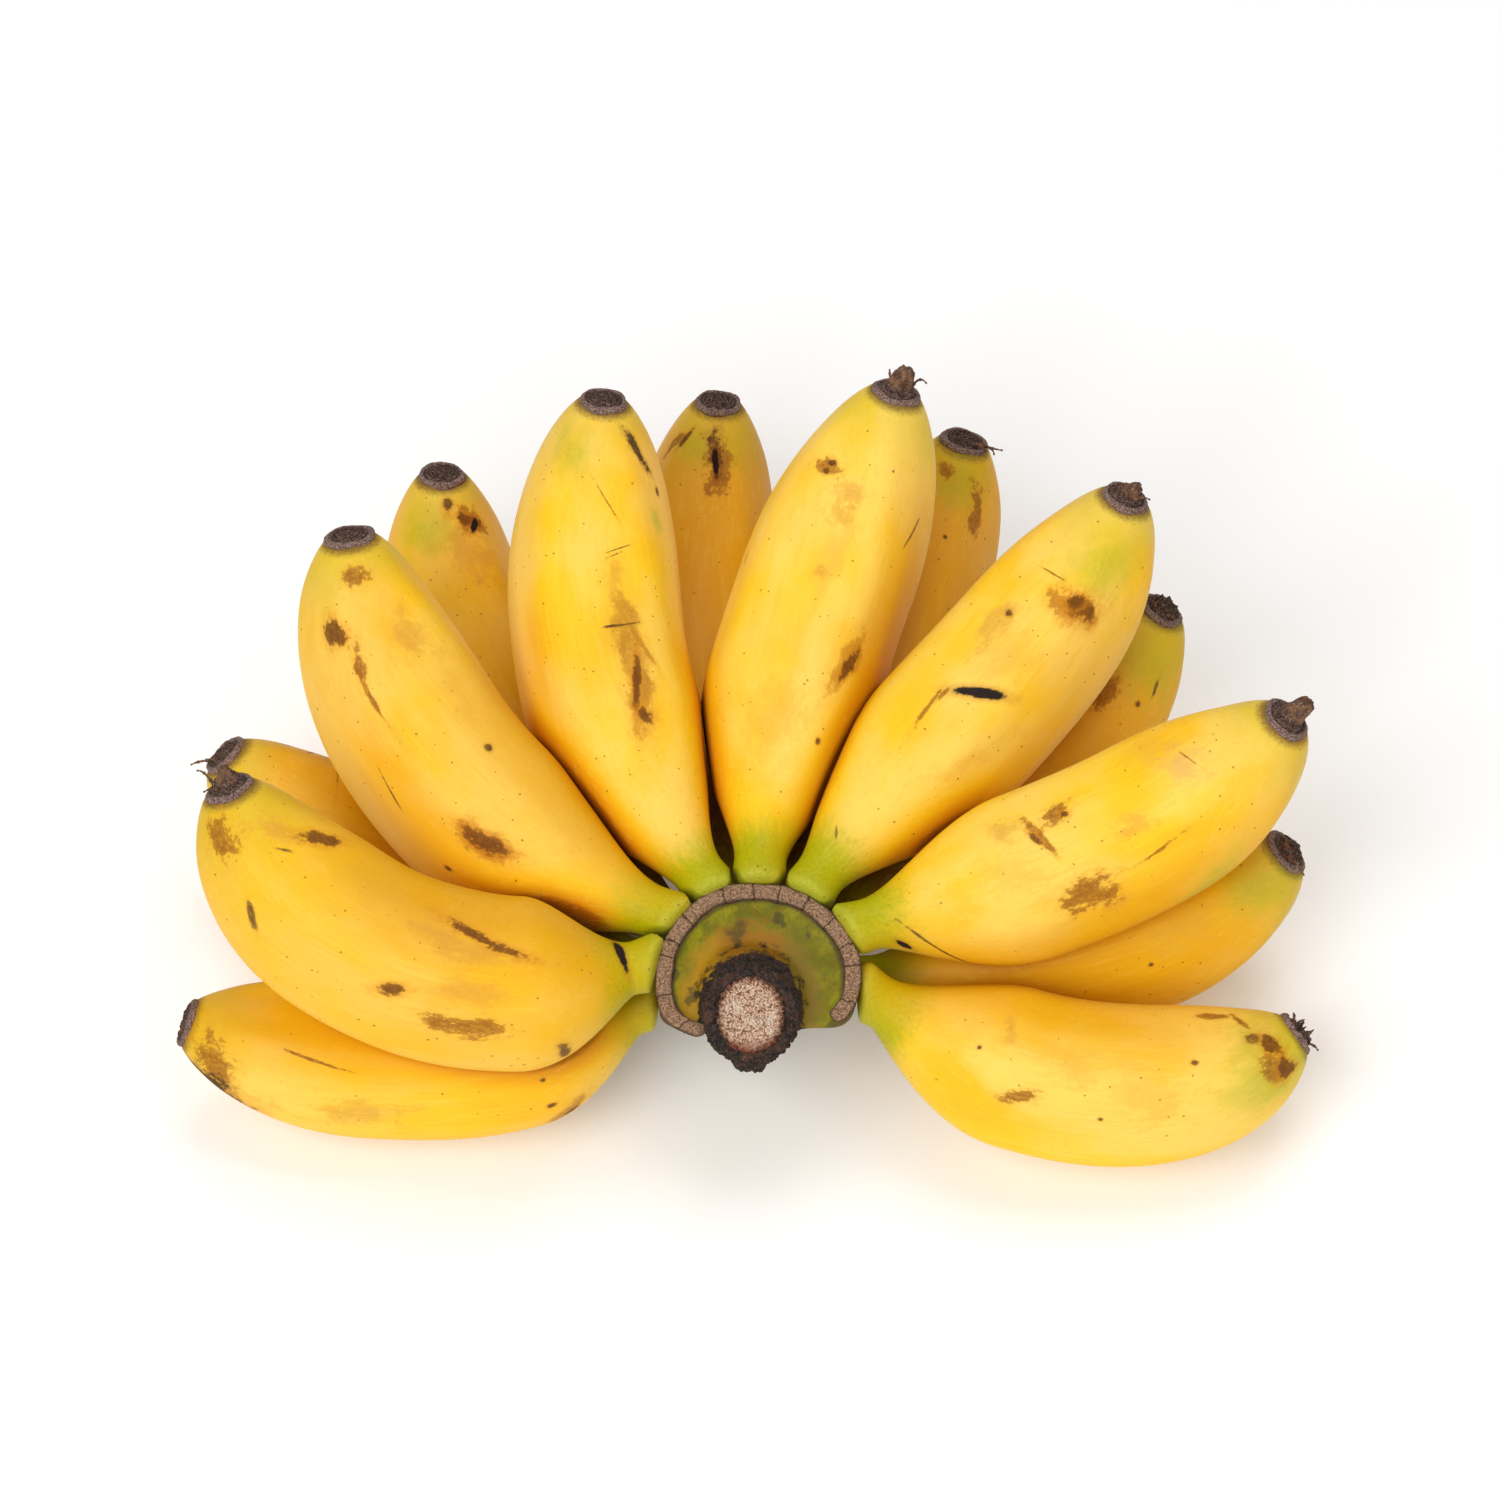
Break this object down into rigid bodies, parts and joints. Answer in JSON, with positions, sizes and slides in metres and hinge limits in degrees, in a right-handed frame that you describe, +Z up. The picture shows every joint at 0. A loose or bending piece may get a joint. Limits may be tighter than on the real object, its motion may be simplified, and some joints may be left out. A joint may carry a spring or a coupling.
{
  "type": "bunch of bananas",
  "caption": "Hand of small ripe dessert bananas in two rows on one green crown, lying on its back with the tips curving up.",
  "frame": {"origin": "centre of the footprint, on the surface that the hand lies on", "axes": "+Z up from that surface; +X across the hand, along its greatest width; +Y from the crown towards the tips"},
  "size_m": [0.2268, 0.1686, 0.0919],
  "materials": {
    "banana_peel": "satin",
    "crown_skin": "matte",
    "dried_flower": "matte"
  },
  "bodies": {
    "root": {"crown": "crown_skin", "upper_banana_1": "banana_peel", "upper_banana_2": "banana_peel", "upper_banana_3": "banana_peel", "upper_banana_4": "banana_peel", "upper_banana_5": "banana_peel", "upper_banana_6": "banana_peel", "upper_banana_7": "banana_peel", "lower_banana_1": "banana_peel", "lower_banana_2": "banana_peel", "lower_banana_3": "banana_peel", "lower_banana_4": "banana_peel", "lower_banana_5": "banana_peel", "lower_banana_6": "banana_peel", "lower_banana_7": "banana_peel", "upper_flower_end_1": "dried_flower", "upper_flower_end_2": "dried_flower", "upper_flower_end_3": "dried_flower", "upper_flower_end_4": "dried_flower", "upper_flower_end_5": "dried_flower", "upper_flower_end_6": "dried_flower", "upper_flower_end_7": "dried_flower", "lower_flower_end_1": "dried_flower", "lower_flower_end_2": "dried_flower", "lower_flower_end_3": "dried_flower", "lower_flower_end_4": "dried_flower", "lower_flower_end_5": "dried_flower", "lower_flower_end_6": "dried_flower", "lower_flower_end_7": "dried_flower"}
  },
  "joints": []
}
